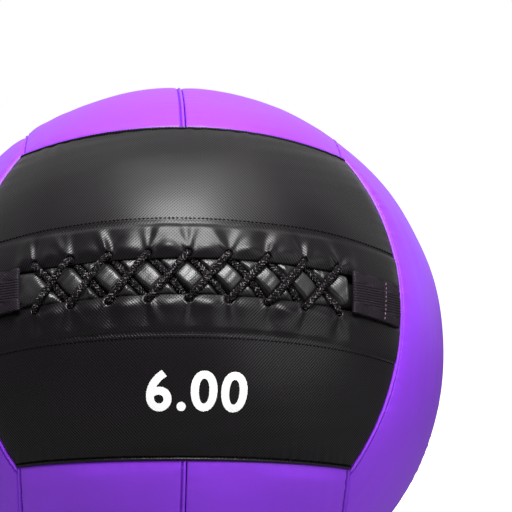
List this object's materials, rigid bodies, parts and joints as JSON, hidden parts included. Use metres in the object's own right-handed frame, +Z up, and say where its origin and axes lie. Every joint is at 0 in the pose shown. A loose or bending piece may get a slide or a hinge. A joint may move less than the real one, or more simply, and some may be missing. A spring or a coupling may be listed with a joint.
{
  "type": "wall ball",
  "caption": "Soft weighted wall ball with a panelled two-tone shell, a laced front opening and lifting webbing tabs over the ends of the lacing.",
  "frame": {"origin": "middle of the small flat that the ball rests on, at floor level", "axes": "+Z up, +X to the right along the lacing, -Y out of the laced front, which is rolled back to look up by 21.7 degrees"},
  "size_m": [0.3468, 0.35, 0.3429],
  "materials": {
    "shell_black": "satin synthetic leather, fine diagonal emboss",
    "shell_purple": "satin synthetic leather, smooth",
    "lace_cord": "braided cord",
    "webbing": "ribbed woven webbing",
    "thread": "sewing thread",
    "foam": "closed-cell foam",
    "canvas": "plain canvas",
    "wadding": "packed textile fibre",
    "iron_grit": "loose grit"
  },
  "bodies": {
    "ball": {"front_upper_panel": "shell_black", "front_lower_panel": "shell_black", "back_upper_panel": "shell_black", "back_lower_panel": "shell_black", "top_left_panel": "shell_purple", "top_right_panel": "shell_purple", "bottom_left_panel": "shell_purple", "bottom_right_panel": "shell_purple", "left_front_panel": "shell_purple", "left_back_panel": "shell_purple", "right_front_panel": "shell_purple", "right_back_panel": "shell_purple", "front_upper_padding": "foam", "front_lower_padding": "foam", "back_upper_padding": "foam", "back_lower_padding": "foam", "top_left_padding": "foam", "top_right_padding": "foam", "bottom_left_padding": "foam", "bottom_right_padding": "foam", "left_front_padding": "foam", "left_back_padding": "foam", "right_front_padding": "foam", "right_back_padding": "foam", "upper_hem_thread": "thread", "lower_hem_thread": "thread", "lacing_tongue": "shell_black", "lace": "lace_cord", "right_tab_base": "webbing", "left_tab_base": "webbing", "liner_gore_right_front": "canvas", "liner_gore_right_back": "canvas", "liner_gore_left_back": "canvas", "liner_gore_left_front": "canvas", "filling_upper": "wadding", "filling_lower": "wadding", "ballast_bag": "canvas", "ballast_tie": "lace_cord", "ballast_grit": "iron_grit"},
    "right_flap": {"right_tab_flap": "webbing"},
    "left_flap": {"left_tab_flap": "webbing"}
  },
  "joints": [
    {"name": "right_flap_lift", "type": "hinge", "parent": "ball", "child": "right_flap", "pos_m": [0.12326, -0.12062, 0.21526], "axis": [0, 0.3697, 0.9291], "range_deg": [0, 90], "stiffness_Nm_per_rad": 0.02},
    {"name": "left_flap_lift", "type": "hinge", "parent": "ball", "child": "left_flap", "pos_m": [-0.12326, -0.12062, 0.21526], "axis": [0, -0.3697, -0.9291], "range_deg": [0, 90], "stiffness_Nm_per_rad": 0.02}
  ]
}
